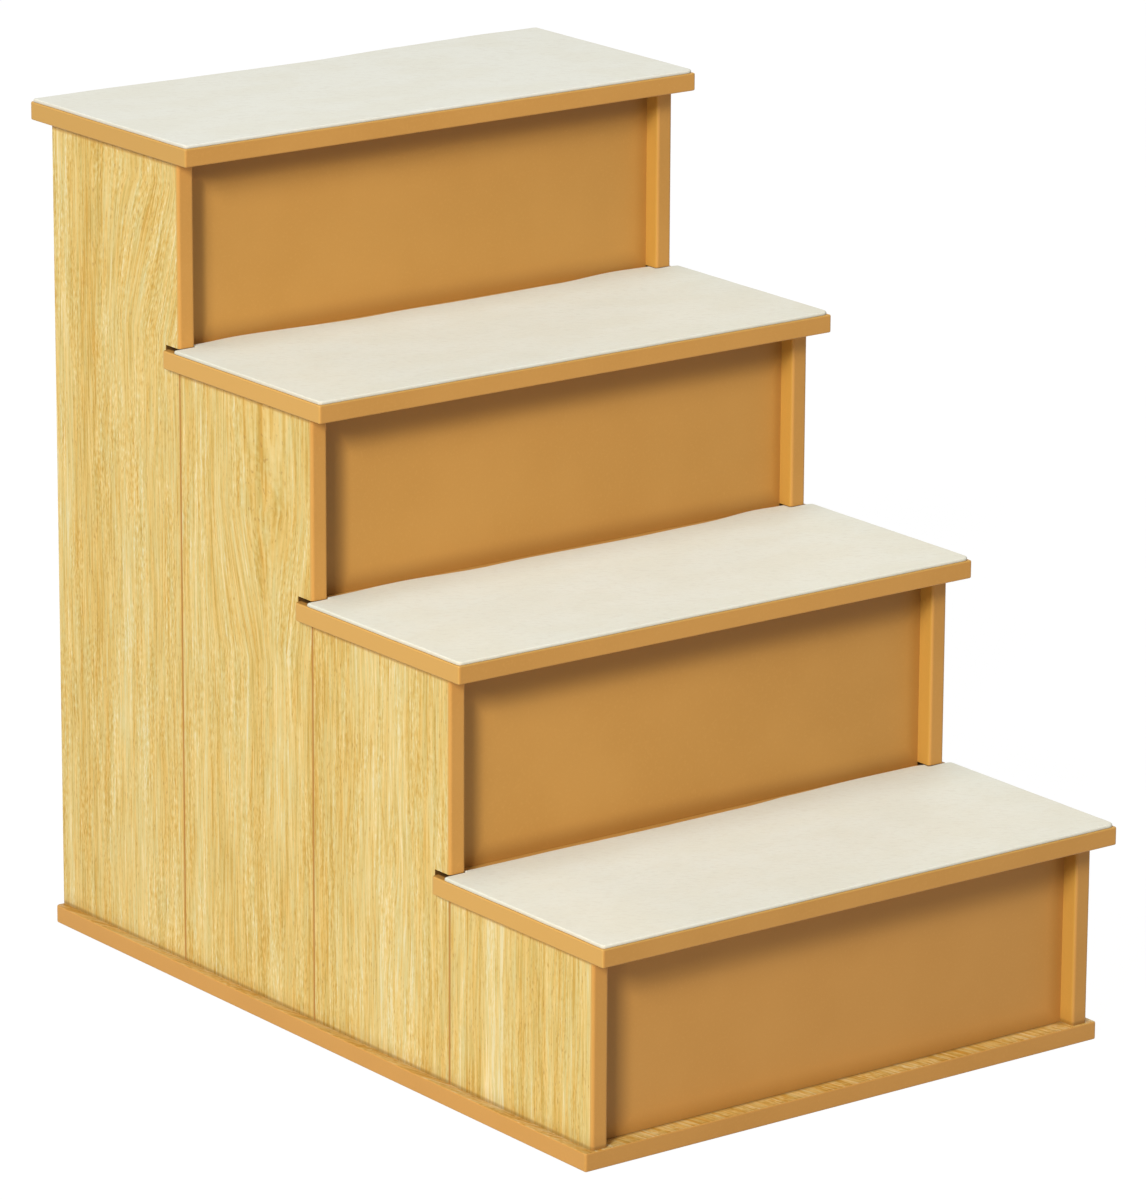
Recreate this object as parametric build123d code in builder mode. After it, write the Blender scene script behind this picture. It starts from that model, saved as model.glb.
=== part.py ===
"""Four-step pet stairs made of laminated boards, with felt pads on the treads.

Millimetres, +Z up. X runs across the stairs and Y from the lowest step to the back.
The origin is on the floor, under the middle of the whole outline.
"""

import os

from build123d import *

os.makedirs("parts", exist_ok=True)

# Driving dimensions of the stairs
overall_height = 560.0
carcass_width = 398.0
carcass_depth = 589.0
board_thickness = 12.0
step_count = 4

# Height of each step as a share of the overall height, lowest step first
rise_shares = (0.263, 0.254, 0.239, 0.244)

# How far boards stand out past the boards under them
tread_side_overhang = 6.0
tread_front_overhang = 17.5
tread_rear_overhang = 17.0
base_side_overhang = 6.5
base_front_overhang = 2.0

# Risers stand back from the front edges of the side boards and reach down behind the tread below
riser_setback = 12.0
riser_lap = 30.0

# Notch in a side board that takes the rear end of the tread below
notch_top_clearance = 2.0
notch_end_clearance = 4.0

# Rounded edges of the boards
arris_radius = 1.0
side_front_radius = 2.0
front_corner_radius = 1.5
rear_corner_radius = 3.0

# Felt pads
pad_thickness = 2.5
pad_inset = 1.5
pad_clearance = 0.4
pad_corner_radius = 4.0
pad_edge_radius = 1.2

# Countersunk screws, driven up through the base and down through the treads
screw_radius = 2.0
screw_head_radius = 4.0
screw_head_height = 2.4
screw_recess = 0.3
screw_tip_length = 5.0
base_screw_length = 35.0
tread_screw_length = 30.0
board_screw_shares = (0.22, 0.78)
panel_screw_share = 0.3

# Wooden dowels between neighbouring side boards, and between treads and risers
dowel_radius = 3.0
dowel_chamfer = 0.8
seam_dowel_length = 30.0
seam_dowel_height_shares = (0.36, 0.70)
tread_dowel_length = 24.0
tread_dowel_in_riser_share = 0.65
tread_dowel_spread_share = 0.3

# Cam fittings that draw the risers and the back panel against the side boards
cam_radius = 6.0
cam_depth_share = 0.78
cam_backset = 24.0
cam_slot_width = 1.4
cam_slot_depth = 1.6
riser_cam_height_share = 0.55
back_cam_height_shares = (0.16, 0.84)
bolt_thread_radius = 2.5
bolt_thread_share = 0.7
bolt_collar_radius = 3.2
bolt_collar_length = 1.5
bolt_shank_radius = 2.4
bolt_neck_radius = 1.6
bolt_neck_length = 5.0
bolt_head_radius = 2.8
bolt_head_length = 3.6

fitting_clearance = 0.15
cut_overrun = 1.0

# Places worked out from the sizes above
half_carcass = carcass_width / 2
half_inside = half_carcass - board_thickness
inside_width = 2 * half_inside
step_run = carcass_depth / step_count
outline_depth = tread_front_overhang + carcass_depth + tread_rear_overhang
carcass_front = tread_front_overhang - outline_depth / 2
carcass_rear = carcass_front + carcass_depth
base_top = board_thickness
board_fronts = [carcass_front + step * step_run for step in range(step_count)]
tread_tops = [overall_height * sum(rise_shares[: step + 1]) for step in range(step_count)]
tread_undersides = [top - board_thickness for top in tread_tops]
side_middle = half_carcass - board_thickness / 2
sides = (("left", -1), ("right", 1))


def riser_bottom(step):
    """Lower edge of a riser: the base for the first, behind the tread below for the rest."""
    return base_top if step == 0 else tread_undersides[step - 1] - riser_lap


def riser_top(step):
    """Upper edge of a riser, under its own tread."""
    return tread_undersides[step]


def tread_rear(step):
    """Rear edge of a tread: against the riser above, or past the back for the highest."""
    if step == step_count - 1:
        return carcass_rear + tread_rear_overhang
    return board_fronts[step + 1] + riser_setback


def seam_dowel_heights(step):
    """Heights of the dowels between side board number step and the next one."""
    board_height = tread_undersides[step] - base_top
    return [base_top + share * board_height for share in seam_dowel_height_shares]


def riser_cam_height(step):
    """Height of a riser's cam fittings, clear of the tread below."""
    low = base_top if step == 0 else tread_tops[step - 1]
    return low + riser_cam_height_share * (riser_top(step) - low)


back_height = tread_undersides[-1] - base_top
back_cam_heights = [base_top + share * back_height for share in back_cam_height_shares]
back_middle = carcass_rear - board_thickness / 2
tread_dowel_half_spread = tread_dowel_spread_share * inside_width
panel_screw_half_spread = panel_screw_share * inside_width
tread_dowel_in_riser = tread_dowel_in_riser_share * board_thickness
tread_dowel_in_tread = tread_dowel_length - tread_dowel_in_riser
cam_bore_depth = cam_depth_share * board_thickness
bolt_thread_length = bolt_thread_share * board_thickness
riser_one_middle = board_fronts[0] + riser_setback + board_thickness / 2

# Screw places: along each side board, then along the lowest riser and the back panel
side_screw_depths = [
    [front + share * step_run for share in board_screw_shares] for front in board_fronts
]
base_screw_places = [
    (sign * side_middle, depth)
    for _, sign in sides
    for depths in side_screw_depths
    for depth in depths
]
base_screw_places += [
    (sign * panel_screw_half_spread, depth)
    for _, sign in sides
    for depth in (riser_one_middle, back_middle)
]


def screw_form(length):
    """One countersunk screw along -Z, its head's rim at the origin."""
    shank_end = -length + screw_tip_length
    with BuildPart() as screw:
        with BuildSketch(Plane.XZ):
            with BuildLine():
                Polyline(
                    (0, 0),
                    (screw_head_radius, 0),
                    (screw_radius, -screw_head_height),
                    (screw_radius, shank_end),
                    (0, -length),
                    close=True,
                )
            make_face()
        revolve(axis=Axis.Z)
    return screw.part


def dowel_form(length):
    """One dowel along Z, centred on the origin, with chamfered ends."""
    with BuildPart() as dowel:
        Cylinder(dowel_radius, length)
        chamfer(dowel.edges().filter_by(GeomType.CIRCLE), dowel_chamfer)
    return dowel.part


def cut_screw_hole(length):
    """Cut the countersunk hole of one screw through a board, along -Z of the place."""
    CounterSinkHole(
        screw_radius + fitting_clearance,
        screw_head_radius + fitting_clearance + screw_recess,
        depth=length,
    )


def flat_board(front, rear, half_width, bottom):
    """A board lying flat, before it is drilled: rounded corners in plan and an arris all round."""
    with BuildPart() as board:
        with BuildSketch(Plane.XY.offset(bottom)) as plan:
            with Locations((0, (front + rear) / 2)):
                Rectangle(2 * half_width, rear - front)
            fillet(plan.vertices().group_by(Axis.Y)[-1], rear_corner_radius)
            fillet(plan.vertices().group_by(Axis.Y)[0], front_corner_radius)
        extrude(amount=board_thickness)
        rims = board.faces().sort_by(Axis.Z)
        fillet(rims[-1].edges() + rims[0].edges(), arris_radius)
    return board.part


# Base board, screwed up into the side boards, the lowest riser and the back panel
base_front = carcass_front - base_front_overhang
base_half_width = half_carcass + base_side_overhang
base_blank = flat_board(base_front, carcass_rear, base_half_width, 0)
with BuildPart() as base_board:
    add(base_blank)
    with Locations(*[Plane((x, y, 0), z_dir=(0, 0, -1)) for x, y in base_screw_places]):
        cut_screw_hole(board_thickness + cut_overrun)
base_board.part.label = "base_board"
export_step(base_board.part, "parts/base_board.step")


# Side boards, four to a side, each as tall as the tread that it carries
for side, sign in sides:
    outer = sign * half_carcass
    inner = sign * half_inside
    for step in range(step_count):
        front = board_fronts[step]
        height = tread_undersides[step] - base_top
        with BuildPart() as side_board:
            with BuildSketch(Plane.YZ.offset(min(outer, inner))):
                with Locations((front, base_top)):
                    Rectangle(step_run, height, align=(Align.MIN, Align.MIN))
                if step > 0:
                    with Locations((front, tread_undersides[step - 1])):
                        Rectangle(
                            riser_setback + notch_end_clearance,
                            board_thickness + notch_top_clearance,
                            align=(Align.MIN, Align.MIN),
                            mode=Mode.SUBTRACT,
                        )
            extrude(amount=board_thickness)
            uprights = side_board.edges().filter_by(Axis.Z)
            fillet(uprights.group_by(Axis.Y)[0], side_front_radius)
            rear_uprights = side_board.edges().filter_by(Axis.Z).group_by(Axis.Y)[-1]
            fillet(rear_uprights.sort_by(Axis.X), arris_radius)
            # Screw holes from the base and from the tread
            screw_places = side_screw_depths[step]
            base_grip = base_screw_length - board_thickness + fitting_clearance
            tread_grip = tread_screw_length - board_thickness + fitting_clearance
            for depth in screw_places:
                foot = Plane((sign * side_middle, depth, base_top), z_dir=(0, 0, -1))
                head = Plane((sign * side_middle, depth, tread_undersides[step]))
                with Locations(foot):
                    Hole(screw_radius + fitting_clearance, depth=base_grip)
                with Locations(head):
                    Hole(screw_radius + fitting_clearance, depth=tread_grip)
            # Dowel holes in the edges that meet the neighbouring boards
            dowel_hole_depth = seam_dowel_length / 2 + fitting_clearance
            if step < step_count - 1:
                rear = front + step_run
                for level in seam_dowel_heights(step):
                    with Locations(Plane((sign * side_middle, rear, level), z_dir=(0, 1, 0))):
                        Hole(dowel_radius + fitting_clearance, depth=dowel_hole_depth)
            if step > 0:
                for level in seam_dowel_heights(step - 1):
                    with Locations(Plane((sign * side_middle, front, level), z_dir=(0, -1, 0))):
                        Hole(dowel_radius + fitting_clearance, depth=dowel_hole_depth)
            # Blind holes in the inner face for the cam bolts
            bolt_places = [(front + riser_setback + board_thickness / 2, riser_cam_height(step))]
            if step == step_count - 1:
                bolt_places += [(back_middle, level) for level in back_cam_heights]
            for depth, level in bolt_places:
                with Locations(Plane((inner, depth, level), z_dir=(-sign, 0, 0))):
                    Hole(
                        bolt_thread_radius + fitting_clearance,
                        depth=bolt_thread_length + fitting_clearance,
                    )
        side_board.part.label = f"{side}_side_board_{step + 1}"
        export_step(side_board.part, f"parts/{side}_side_board_{step + 1}.step")


def cut_cam_fitting(level, middle, cam_side):
    """Cut both ends of an upright panel for cam fittings at one height.

    cam_side is 1 where the cams are put in from the rear face and -1 from the front face.
    """
    face = middle + cam_side * board_thickness / 2
    for _, sign in sides:
        with Locations(Plane((sign * half_inside, middle, level), z_dir=(sign, 0, 0))):
            Hole(bolt_collar_radius + fitting_clearance, depth=cam_backset)
        place = (sign * (half_inside - cam_backset), face, level)
        with Locations(Plane(place, z_dir=(0, cam_side, 0))):
            Hole(cam_radius + fitting_clearance, depth=cam_bore_depth)


def panel(front, bottom, top):
    """An upright panel between the side boards, before it is drilled."""
    with BuildPart() as board:
        with BuildSketch(Plane.XZ.offset(-front)):
            with Locations((0, (bottom + top) / 2)):
                Rectangle(inside_width, top - bottom)
        extrude(amount=-board_thickness)
    return board.part


# Risers, between the side boards
for step in range(step_count):
    front = board_fronts[step] + riser_setback
    middle = front + board_thickness / 2
    riser_blank = panel(front, riser_bottom(step), riser_top(step))
    with BuildPart() as riser:
        add(riser_blank)
        cut_cam_fitting(riser_cam_height(step), middle, 1)
        if step == 0:
            for _, sign in sides:
                foot = Plane((sign * panel_screw_half_spread, middle, base_top), z_dir=(0, 0, -1))
                with Locations(foot):
                    Hole(
                        screw_radius + fitting_clearance,
                        depth=base_screw_length - board_thickness + fitting_clearance,
                    )
        else:
            level = tread_tops[step - 1] - board_thickness / 2
            for _, sign in sides:
                place = Plane((sign * tread_dowel_half_spread, front, level), z_dir=(0, -1, 0))
                with Locations(place):
                    Hole(
                        dowel_radius + fitting_clearance,
                        depth=tread_dowel_in_riser + fitting_clearance,
                    )
    riser.part.label = f"riser_{step + 1}"
    export_step(riser.part, f"parts/riser_{step + 1}.step")

# Back panel, flush with the rear edges of the tallest side boards
back_blank = panel(carcass_rear - board_thickness, base_top, tread_undersides[-1])
with BuildPart() as back_panel:
    add(back_blank)
    for level in back_cam_heights:
        cut_cam_fitting(level, back_middle, -1)
    for _, sign in sides:
        foot = Plane((sign * panel_screw_half_spread, back_middle, base_top), z_dir=(0, 0, -1))
        with Locations(foot):
            Hole(
                screw_radius + fitting_clearance,
                depth=base_screw_length - board_thickness + fitting_clearance,
            )
back_panel.part.label = "back_panel"
export_step(back_panel.part, "parts/back_panel.step")

# Treads, screwed down onto the side boards and dowelled to the riser behind
tread_half_width = half_carcass + tread_side_overhang
for step in range(step_count):
    front = board_fronts[step] - tread_front_overhang
    top = tread_tops[step]
    tread_blank = flat_board(front, tread_rear(step), tread_half_width, tread_undersides[step])
    with BuildPart() as tread:
        add(tread_blank)
        places = [
            Plane((sign * side_middle, depth, top))
            for _, sign in sides
            for depth in side_screw_depths[step]
        ]
        with Locations(*places):
            cut_screw_hole(board_thickness + cut_overrun)
        if step < step_count - 1:
            for _, sign in sides:
                place = Plane(
                    (sign * tread_dowel_half_spread, tread_rear(step), top - board_thickness / 2),
                    z_dir=(0, 1, 0),
                )
                with Locations(place):
                    Hole(
                        dowel_radius + fitting_clearance,
                        depth=tread_dowel_in_tread + fitting_clearance,
                    )
    tread.part.label = f"tread_{step + 1}"
    export_step(tread.part, f"parts/tread_{step + 1}.step")

# Felt pads, glued to the treads over the screw heads
pad_half_width = tread_half_width - pad_inset
pad_half_tongue = half_inside - pad_clearance
for step in range(step_count):
    front = board_fronts[step] - tread_front_overhang + pad_inset
    highest = step == step_count - 1
    if highest:
        shoulder = tread_rear(step) - pad_inset
    else:
        shoulder = board_fronts[step + 1] - pad_clearance
    with BuildPart() as tread_pad:
        with BuildSketch(Plane.XY.offset(tread_tops[step])) as plan:
            with Locations((0, (front + shoulder) / 2)):
                Rectangle(2 * pad_half_width, shoulder - front)
            fillet(plan.vertices(), pad_corner_radius)
            if not highest:
                tongue_rear = tread_rear(step) - pad_clearance
                with Locations((0, (front + tongue_rear) / 2)):
                    Rectangle(2 * pad_half_tongue, tongue_rear - front)
        extrude(amount=pad_thickness)
        fillet(tread_pad.faces().sort_by(Axis.Z)[-1].edges(), pad_edge_radius)
    tread_pad.part.label = f"tread_pad_{step + 1}"
    export_step(tread_pad.part, f"parts/tread_pad_{step + 1}.step")

# Screws up through the base
base_screw = screw_form(base_screw_length - screw_recess)
with BuildPart() as base_screws:
    with Locations(*[Plane((x, y, screw_recess), z_dir=(0, 0, -1)) for x, y in base_screw_places]):
        add(base_screw)
base_screws.part.label = "base_screws"
export_step(base_screws.part, "parts/base_screws.step")

# Screws down through the treads, under the pads
tread_screw = screw_form(tread_screw_length - screw_recess)
with BuildPart() as tread_screws:
    for step in range(step_count):
        level = tread_tops[step] - screw_recess
        places = [
            (sign * side_middle, depth, level)
            for _, sign in sides
            for depth in side_screw_depths[step]
        ]
        with Locations(*places):
            add(tread_screw)
tread_screws.part.label = "tread_screws"
export_step(tread_screws.part, "parts/tread_screws.step")

# Dowels across the seams between side boards
seam_dowel = dowel_form(seam_dowel_length)
with BuildPart() as seam_dowels:
    for _, sign in sides:
        for step in range(step_count - 1):
            seam = board_fronts[step + 1]
            places = [
                Plane((sign * side_middle, seam, level), z_dir=(0, 1, 0))
                for level in seam_dowel_heights(step)
            ]
            with Locations(*places):
                add(seam_dowel)
seam_dowels.part.label = "seam_dowels"
export_step(seam_dowels.part, "parts/seam_dowels.step")

# Dowels between the rear edges of the treads and the risers
tread_dowel = dowel_form(tread_dowel_length)
with BuildPart() as tread_dowels:
    for step in range(step_count - 1):
        middle = tread_rear(step) + tread_dowel_in_riser - tread_dowel_length / 2
        level = tread_tops[step] - board_thickness / 2
        places = [
            Plane((sign * tread_dowel_half_spread, middle, level), z_dir=(0, 1, 0))
            for _, sign in sides
        ]
        with Locations(*places):
            add(tread_dowel)
tread_dowels.part.label = "tread_dowels"
export_step(tread_dowels.part, "parts/tread_dowels.step")

# One cam bolt along Z: thread below the origin, collar, shank, neck and head above it
head_middle = cam_backset
neck_start = head_middle - bolt_head_length / 2 - bolt_neck_length
head_start = head_middle - bolt_head_length / 2
head_end = head_middle + bolt_head_length / 2
with BuildPart() as cam_bolt:
    with BuildSketch(Plane.XZ):
        with BuildLine():
            Polyline(
                (0, -bolt_thread_length),
                (bolt_thread_radius, -bolt_thread_length),
                (bolt_thread_radius, 0),
                (bolt_collar_radius, 0),
                (bolt_collar_radius, bolt_collar_length),
                (bolt_shank_radius, bolt_collar_length),
                (bolt_shank_radius, neck_start),
                (bolt_neck_radius, neck_start),
                (bolt_neck_radius, head_start),
                (bolt_head_radius, head_start),
                (bolt_head_radius, head_end),
                (0, head_end),
                close=True,
            )
        make_face()
    revolve(axis=Axis.Z)

# One cam disc along -Z from its slotted face, with a way in for the bolt's head along +X
cam_height = cam_bore_depth - fitting_clearance
with BuildPart() as cam_disc:
    with Locations((0, 0, -cam_height / 2)):
        Cylinder(cam_radius, cam_height)
    head_way_radius = bolt_head_radius + 2 * fitting_clearance
    with BuildSketch(Plane.YZ.offset(-bolt_head_length / 2 - fitting_clearance)):
        with Locations((0, -board_thickness / 2)):
            Circle(head_way_radius)
    extrude(amount=cam_radius + bolt_head_length, mode=Mode.SUBTRACT)
    with BuildSketch(Plane.XY):
        Rectangle(cam_radius, cam_slot_width)
        Rectangle(cam_slot_width, cam_radius)
    extrude(amount=-cam_slot_depth, mode=Mode.SUBTRACT)

# Cam places: (sign, middle of the panel, height, side that the cam is put in from)
cam_places = [
    (sign, board_fronts[step] + riser_setback + board_thickness / 2, riser_cam_height(step), 1)
    for _, sign in sides
    for step in range(step_count)
]
cam_places += [(sign, back_middle, level, -1) for _, sign in sides for level in back_cam_heights]

with BuildPart() as cam_bolts:
    places = [
        Plane((sign * half_inside, middle, level), z_dir=(-sign, 0, 0))
        for sign, middle, level, _ in cam_places
    ]
    with Locations(*places):
        add(cam_bolt.part)
cam_bolts.part.label = "cam_bolts"
export_step(cam_bolts.part, "parts/cam_bolts.step")

with BuildPart() as cam_discs:
    places = [
        Plane(
            (sign * (half_inside - cam_backset), middle + cam_side * board_thickness / 2, level),
            x_dir=(sign, 0, 0),
            z_dir=(0, cam_side, 0),
        )
        for sign, middle, level, cam_side in cam_places
    ]
    with Locations(*places):
        add(cam_disc.part)
cam_discs.part.label = "cam_discs"
export_step(cam_discs.part, "parts/cam_discs.step")
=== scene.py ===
from math import cos, radians, sin, sqrt

import bmesh
import bpy
from mathutils import Matrix, Vector, noise


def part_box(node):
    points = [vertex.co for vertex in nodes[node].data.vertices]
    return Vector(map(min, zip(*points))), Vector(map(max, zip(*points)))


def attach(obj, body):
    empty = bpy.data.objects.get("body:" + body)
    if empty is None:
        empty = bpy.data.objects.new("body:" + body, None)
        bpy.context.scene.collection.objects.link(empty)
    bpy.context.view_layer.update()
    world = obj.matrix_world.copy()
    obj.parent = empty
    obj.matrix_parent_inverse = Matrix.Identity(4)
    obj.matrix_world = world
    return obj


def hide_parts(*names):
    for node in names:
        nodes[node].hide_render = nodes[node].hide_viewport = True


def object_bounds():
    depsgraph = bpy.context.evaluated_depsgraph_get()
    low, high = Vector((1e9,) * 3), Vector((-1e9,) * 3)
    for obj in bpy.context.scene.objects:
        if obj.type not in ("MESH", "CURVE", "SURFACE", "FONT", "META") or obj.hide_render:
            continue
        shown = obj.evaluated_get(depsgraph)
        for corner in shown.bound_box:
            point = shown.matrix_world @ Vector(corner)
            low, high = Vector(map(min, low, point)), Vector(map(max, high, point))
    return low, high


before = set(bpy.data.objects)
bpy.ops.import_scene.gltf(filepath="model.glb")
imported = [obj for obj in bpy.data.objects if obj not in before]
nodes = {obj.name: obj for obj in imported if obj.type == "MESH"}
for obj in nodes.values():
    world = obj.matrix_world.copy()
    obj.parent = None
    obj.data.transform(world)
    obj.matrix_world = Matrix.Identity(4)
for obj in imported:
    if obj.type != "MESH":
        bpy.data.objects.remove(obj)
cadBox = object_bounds()
mm = 0.001

print("frame loaded:", len(nodes), "nodes")

stepCount = 4
steps = range(1, stepCount + 1)
sideNames = ("left", "right")
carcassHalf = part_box("right_side_board_1")[1].x
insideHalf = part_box("right_side_board_1")[0].x
boardThickness = carcassHalf - insideHalf


# Shader helpers

class Signal:
    # a socket that arithmetic can be written with
    def __init__(self, finish, socket):
        self.finish = finish
        self.socket = socket

    def __add__(self, other):
        return self.finish.maths("ADD", self, other)

    def __radd__(self, other):
        return self.finish.maths("ADD", other, self)

    def __sub__(self, other):
        return self.finish.maths("SUBTRACT", self, other)

    def __rsub__(self, other):
        return self.finish.maths("SUBTRACT", other, self)

    def __mul__(self, other):
        return self.finish.maths("MULTIPLY", self, other)

    def __rmul__(self, other):
        return self.finish.maths("MULTIPLY", other, self)

    def __truediv__(self, other):
        return self.finish.maths("DIVIDE", self, other)

    def __rtruediv__(self, other):
        return self.finish.maths("DIVIDE", other, self)

    def __pow__(self, other):
        return self.finish.maths("POWER", self, other)

    def __abs__(self):
        return self.finish.maths("ABSOLUTE", self)

    def fraction(self):
        return self.finish.maths("FRACT", self)

    def least(self, other):
        return self.finish.maths("MINIMUM", self, other)

    def most(self, other):
        return self.finish.maths("MAXIMUM", self, other)


class Finish:
    # the node tree of one material, or of the world
    def __init__(self, name, holders=bpy.data.materials):
        self.holder = holders.new(name)
        self.holder.use_nodes = True
        self.tree = self.holder.node_tree
        self.tree.nodes.clear()

    def node(self, kind, settings=None, inputs=None, output=0):
        # the settings go in first, a ramp's stops among them, and then the values or links of the sockets
        made = self.tree.nodes.new(kind)
        for name, value in (settings or {}).items():
            if name == "stops":
                fillRamp(made.color_ramp, value)
            else:
                setattr(made, name, value)
        for name, value in (inputs or {}).items():
            if isinstance(value, Signal):
                self.tree.links.new(value.socket, made.inputs[name])
            else:
                made.inputs[name].default_value = value
        return Signal(self, made.outputs[output]) if made.outputs else None

    def maths(self, operation, first, second=0.0):
        return self.node("ShaderNodeMath", {"operation": operation}, {0: first, 1: second})

    def place(self):
        # metres along X, Y and Z of the stairs
        objectPlace = self.node("ShaderNodeTexCoord", output="Object")
        return [self.node("ShaderNodeSeparateXYZ", None, {0: objectPlace}, axis) for axis in "XYZ"]

    def grain(self, place, size, detail=2.0, roughness=0.5, warp=0.0):
        # noise from 0 to 1, its cells of one size, or of a size of their own along each of the three places
        sizes = size if isinstance(size, tuple) else (size,) * 3
        cells = {axis: along / cell for axis, (along, cell) in enumerate(zip(place, sizes))}
        inputs = {"Vector": self.node("ShaderNodeCombineXYZ", None, cells), "Scale": 1.0,
                  "Detail": detail, "Roughness": roughness, "Distortion": warp}
        return self.node("ShaderNodeTexNoise", {"noise_dimensions": "3D"}, inputs)

    def between(self, value, low, high):
        # 0 below low, 1 above high, smooth from one to the other
        settings = {"interpolation_type": "SMOOTHSTEP"}
        return self.node("ShaderNodeMapRange", settings, {"Value": value, "From Min": low, "From Max": high})

    def fading(self, value, low, high):
        # 1 below low, 0 above high
        return 1 - self.between(value, low, high)

    def patchy(self, value, low, high, least):
        # least below low, 1 above high
        return least + self.between(value, low, high) * (1 - least)

    def blend(self, share, first, second, how="MIX"):
        settings = {"data_type": "RGBA", "blend_type": how}
        return self.node("ShaderNodeMix", settings, {0: share, 6: first, 7: second}, 2)

    def tinted(self, tone, tint, share=1.0):
        return self.blend(share, tone, tint, "MULTIPLY")

    def seenRay(self):
        # 1 where a ray from the camera, a glossy face or glass ends, 0 for light on its way to a piece
        eye, mirror, glass = [self.node("ShaderNodeLightPath", output=f"Is {kind} Ray")
                              for kind in ("Camera", "Glossy", "Transmission")]
        return eye.most(mirror).most(glass)

    def surface(self, colour, roughness, height, depth, metallic=0.0, specular=0.5):
        bump = self.node("ShaderNodeBump", None, {"Height": height, "Distance": depth, "Strength": 1.0})
        inputs = {"Base Color": colour, "Roughness": roughness, "Metallic": metallic,
                  "Specular IOR Level": specular, "Normal": bump}
        shader = self.node("ShaderNodeBsdfPrincipled", None, inputs)
        self.node("ShaderNodeOutputMaterial", None, {0: shader})
        return self.holder


def fillRamp(ramp, stops):
    while len(ramp.elements) > 1:
        ramp.elements.remove(ramp.elements[-1])
    for index, (position, colour) in enumerate(stops):
        element = ramp.elements[0] if index == 0 else ramp.elements.new(position)
        element.position = position
        element.color = colour


def linear(red, green, blue):
    # a colour as it reads on a screen, 0 to 255, made linear
    def one(level):
        share = level / 255
        return share / 12.92 if share <= 0.04045 else ((share + 0.055) / 1.055) ** 2.4
    return (one(red), one(green), one(blue), 1.0)


# Mesh helpers

def looseObject(name, shape):
    # an object at the origin from a bmesh
    mesh = bpy.data.meshes.new(name)
    bmesh.ops.recalc_face_normals(shape, faces=shape.faces)
    shape.to_mesh(mesh)
    shape.free()
    made = bpy.data.objects.new(name, mesh)
    bpy.context.scene.collection.objects.link(made)
    return made


def dress(piece, material):
    piece.data.materials.clear()
    piece.data.materials.append(material)


def newPiece(name, shape, material, smooth=True):
    # a finished piece on the one body of the stairs
    piece = looseObject(name, shape)
    if smooth:
        piece.data.polygons.foreach_set("use_smooth", [True] * len(piece.data.polygons))
    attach(piece, "root")
    dress(piece, material)
    return piece


def smoothShare(share):
    share = min(max(share, 0.0), 1.0)
    return share * share * (3 - 2 * share)


def alongStops(stops, share):
    # a smooth value between given (share, value) stops
    for (start, low), (end, high) in zip(stops, stops[1:]):
        if share <= end:
            return low + (high - low) * smoothShare((share - start) / (end - start))
    return stops[-1][1]


def spread(breaks, counts):
    # positions between the breaks, each stretch cut into its own count of cells
    places = [breaks[0]]
    for start, end, count in zip(breaks, breaks[1:], counts):
        places += [start + (end - start) * (cell + 1) / count for cell in range(count)]
    return places


# Caramel foil on the treads, risers, back panel, edges and inner faces

caramel = {
    "deep": linear(209, 151, 74),
    "colour": linear(213, 155, 78),
    "pale": linear(217, 160, 83),
    # painted light: the ends are toned yellower than the front faces, the highest tread's end and the inner
    # faces darker
    "end": linear(217, 167, 87),
    "topEndShade": linear(208, 160, 82),
    "inner": linear(201, 151, 68),
    # painted shadow for the notches
    "slot": linear(80, 54, 24),
    # painted shade, for creases, corners and the notches' edges
    "paintedShade": linear(150, 104, 46),
    # painted shade line along the upper edges of the treads
    "brimShade": linear(196, 156, 82),
    # size of the cells and detail of each noise
    "cloud": (70 * mm, 2.0),
    "speck": (1.7 * mm, 1.0),
    "peel": (0.9 * mm, 1.0),
    "cloudRange": (0.3, 0.7),
    "speckRange": (0.52, 0.75),
    "speckShare": 0.35,
    "peelDepth": 0.01 * mm,
    "roughness": 0.47,
    "roughnessSpread": 0.06,
    "specular": 0.3,
    # how far inside an end or an inner face its painted tone starts, and where it is full
    "endSkin": (0.6 * mm, 0.3 * mm),
}


def caramelFoil(finish, place):
    cloud = finish.grain(place, *caramel["cloud"])
    speck = finish.grain(place, *caramel["speck"])
    tone = finish.blend(finish.between(cloud, *caramel["cloudRange"]), caramel["deep"], caramel["colour"])
    specks = finish.between(speck, *caramel["speckRange"]) * caramel["speckShare"]
    tone = finish.blend(specks, tone, caramel["pale"])
    unevenness = caramel["roughnessSpread"]
    roughness = caramel["roughness"] + (cloud - 0.5) * unevenness + (speck - 0.5) * unevenness
    return tone, roughness, finish.grain(place, *caramel["peel"])


def foilSurface(finish, tone, roughness, peel):
    return finish.surface(tone, roughness, peel, caramel["peelDepth"], specular=caramel["specular"])


def endSkin(finish, inwards, edge):
    # 1 in the thin skin below an end or an inner face
    deep, full = caramel["endSkin"]
    return finish.between(inwards, edge - deep, edge - full)


def caramelMaterial():
    finish = Finish("caramelFoil")
    return foilSurface(finish, *caramelFoil(finish, finish.place()))


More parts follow.
